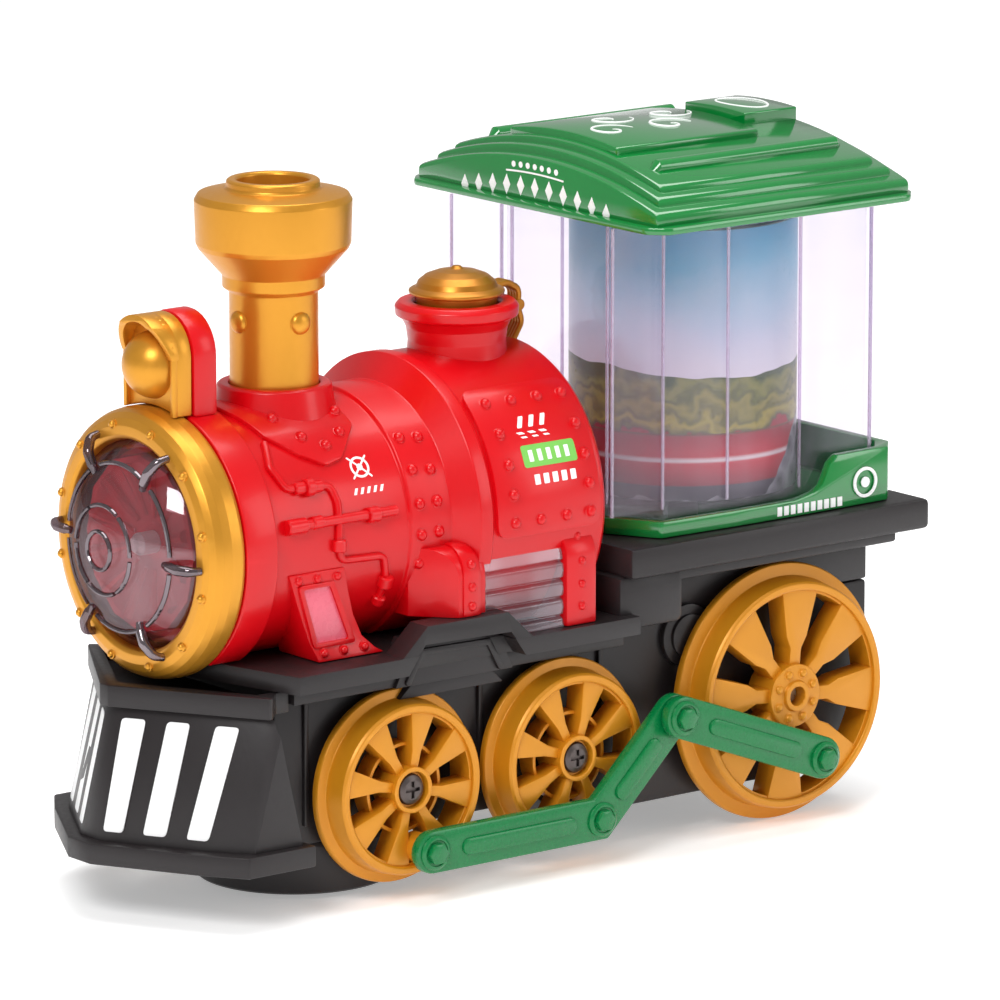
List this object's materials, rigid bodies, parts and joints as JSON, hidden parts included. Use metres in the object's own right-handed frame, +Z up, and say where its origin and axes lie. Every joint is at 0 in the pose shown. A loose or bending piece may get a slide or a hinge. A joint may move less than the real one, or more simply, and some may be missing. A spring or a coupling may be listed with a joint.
{
  "type": "toy steam locomotive",
  "caption": "Battery toy steam locomotive with coupled rods, swivelling drive skirt, ribbed front light, hinged filler cap, chimney and a clear cab round a turning picture drum.",
  "frame": {"origin": "centre of the object's box on the floor", "axes": "+Z up, +X towards the rear, nose at -X, near side with the visible rods at -Y"},
  "size_m": [0.2126, 0.0886, 0.163],
  "materials": {
    "red_plastic": "satin moulded",
    "gold_plastic": "metallic gold satin paint on plastic",
    "wheel_gold_plastic": "satin gold-orange moulded",
    "green_gloss_plastic": "glossy moulded",
    "green_rod_plastic": "satin moulded",
    "dark_plastic": "fine matte moulded",
    "smoke_lens": "clear smoke-grey moulded",
    "lamp_reflector": "glossy faceted",
    "clear_plastic": "clear polished",
    "picture_film": "printed film",
    "white_plastic": "satin moulded",
    "bright_steel": "bright zinc",
    "cell_sleeve": "shrink sleeve",
    "board_green": "solder mask",
    "black_rubber": "matte rubber tyre"
  },
  "bodies": {
    "chassis": {"battery_cell_1": "cell_sleeve", "battery_cell_2": "cell_sleeve", "battery_cell_3": "cell_sleeve", "bezel_ring": "gold_plastic", "boiler_shell": "red_plastic", "buffer_beam": "dark_plastic", "cab_base": "green_gloss_plastic", "cab_case": "clear_plastic", "cab_roof": "green_gloss_plastic", "chassis_frame": "dark_plastic", "chimney": "gold_plastic", "circuit_board": "board_green", "cowcatcher": "dark_plastic", "drum_motor": "bright_steel", "drum_spindle": "white_plastic", "filler_collar": "red_plastic", "foot_bracket_far": "red_plastic", "foot_bracket_near": "red_plastic", "footplate": "dark_plastic", "front_fender_far": "red_plastic", "front_fender_near": "red_plastic", "headlight_led": "white_plastic", "headlight_lens": "smoke_lens", "lamp_shroud": "red_plastic", "lead_wheel_screw_far": "bright_steel", "lead_wheel_screw_near": "bright_steel", "mid_wheel_screw_far": "bright_steel", "mid_wheel_screw_near": "bright_steel", "mist_unit": "white_plastic", "rear_coupler": "dark_plastic", "rear_fender_far": "red_plastic", "rear_fender_near": "red_plastic", "rear_platform": "dark_plastic", "reflector": "lamp_reflector", "side_window_far": "clear_plastic", "side_window_near": "clear_plastic", "speaker": "dark_plastic", "top_lamp": "gold_plastic", "water_tank": "clear_plastic"},
    "rear_wheelset": {"rear_axle": "bright_steel", "big_wheel_near": "wheel_gold_plastic", "big_wheel_far": "wheel_gold_plastic"},
    "lead_wheel_near": {"lead_wheel_near": "wheel_gold_plastic"},
    "lead_wheel_far": {"lead_wheel_far": "wheel_gold_plastic"},
    "mid_wheel_near": {"mid_wheel_near": "wheel_gold_plastic"},
    "mid_wheel_far": {"mid_wheel_far": "wheel_gold_plastic"},
    "front_rod_near": {"front_rod_near": "green_rod_plastic"},
    "front_rod_far": {"front_rod_far": "green_rod_plastic"},
    "rear_rod_near": {"rear_rod_near": "green_rod_plastic"},
    "rear_rod_far": {"rear_rod_far": "green_rod_plastic"},
    "turntable": {"turntable_skirt": "dark_plastic", "drive_gearbox": "white_plastic", "drive_motor": "bright_steel"},
    "drive_wheelset": {"drive_axle": "bright_steel", "drive_wheel_near": "black_rubber", "drive_wheel_far": "black_rubber"},
    "film_drum": {"film_drum": "picture_film"},
    "filler_cap": {"filler_cap": "gold_plastic"},
    "battery_door": {"battery_door": "dark_plastic"},
    "power_switch": {"power_switch": "white_plastic"}
  },
  "joints": [
    {"name": "rear_axle_spin", "type": "hinge", "parent": "chassis", "child": "rear_wheelset", "pos_m": [0.06745, 0, 0.0295], "axis": [0, 1, 0], "continuous": true},
    {"name": "lead_wheel_near_spin", "type": "hinge", "parent": "chassis", "child": "lead_wheel_near", "pos_m": [-0.04165, -0.03, 0.0247], "axis": [0, 1, 0], "continuous": true},
    {"name": "mid_wheel_near_spin", "type": "hinge", "parent": "chassis", "child": "mid_wheel_near", "pos_m": [0.00445, -0.03, 0.0247], "axis": [0, 1, 0], "continuous": true},
    {"name": "lead_wheel_far_spin", "type": "hinge", "parent": "chassis", "child": "lead_wheel_far", "pos_m": [-0.04165, 0.03, 0.0247], "axis": [0, 1, 0], "continuous": true},
    {"name": "mid_wheel_far_spin", "type": "hinge", "parent": "chassis", "child": "mid_wheel_far", "pos_m": [0.00445, 0.03, 0.0247], "axis": [0, 1, 0], "continuous": true},
    {"name": "front_rod_near_pin", "type": "hinge", "parent": "lead_wheel_near", "child": "front_rod_near", "pos_m": [-0.03945, -0.038, 0.0113], "axis": [0, 1, 0], "continuous": true},
    {"name": "rear_rod_near_pin", "type": "hinge", "parent": "rear_wheelset", "child": "rear_rod_near", "pos_m": [0.06965, -0.041, 0.0161], "axis": [0, 1, 0], "continuous": true},
    {"name": "front_rod_far_pin", "type": "hinge", "parent": "lead_wheel_far", "child": "front_rod_far", "pos_m": [-0.03945, 0.038, 0.0113], "axis": [0, 1, 0], "continuous": true},
    {"name": "rear_rod_far_pin", "type": "hinge", "parent": "rear_wheelset", "child": "rear_rod_far", "pos_m": [0.06965, 0.041, 0.0161], "axis": [0, 1, 0], "continuous": true},
    {"name": "turntable_swivel", "type": "hinge", "parent": "chassis", "child": "turntable", "pos_m": [-0.04775, 0, 0.008], "axis": [0, 0, 1], "continuous": true},
    {"name": "drive_axle_spin", "type": "hinge", "parent": "turntable", "child": "drive_wheelset", "pos_m": [-0.04775, 0, 0.005], "axis": [0, 1, 0], "continuous": true},
    {"name": "film_drum_spin", "type": "hinge", "parent": "chassis", "child": "film_drum", "pos_m": [0.06285, 0, 0.0745], "axis": [0, 0, 1], "continuous": true},
    {"name": "filler_cap_hinge", "type": "hinge", "parent": "chassis", "child": "filler_cap", "pos_m": [0.01385, 0, 0.1206], "axis": [0, 1, 0], "range_deg": [0, 70]},
    {"name": "battery_door_hinge", "type": "hinge", "parent": "chassis", "child": "battery_door", "pos_m": [0.06105, 0, 0.008], "axis": [0, -1, 0], "range_deg": [0, 80]},
    {"name": "power_switch_slide", "type": "slide", "parent": "chassis", "child": "power_switch", "axis": [1, 0, 0], "range_m": [0, 0.004]}
  ],
  "couplings": [
    {"joint": "lead_wheel_near_spin", "follows": "rear_axle_spin", "ratio": 1},
    {"joint": "lead_wheel_far_spin", "follows": "rear_axle_spin", "ratio": 1},
    {"joint": "front_rod_near_pin", "follows": "rear_axle_spin", "ratio": -1},
    {"joint": "rear_rod_near_pin", "follows": "rear_axle_spin", "ratio": -1},
    {"joint": "front_rod_far_pin", "follows": "rear_axle_spin", "ratio": -1},
    {"joint": "rear_rod_far_pin", "follows": "rear_axle_spin", "ratio": -1}
  ]
}
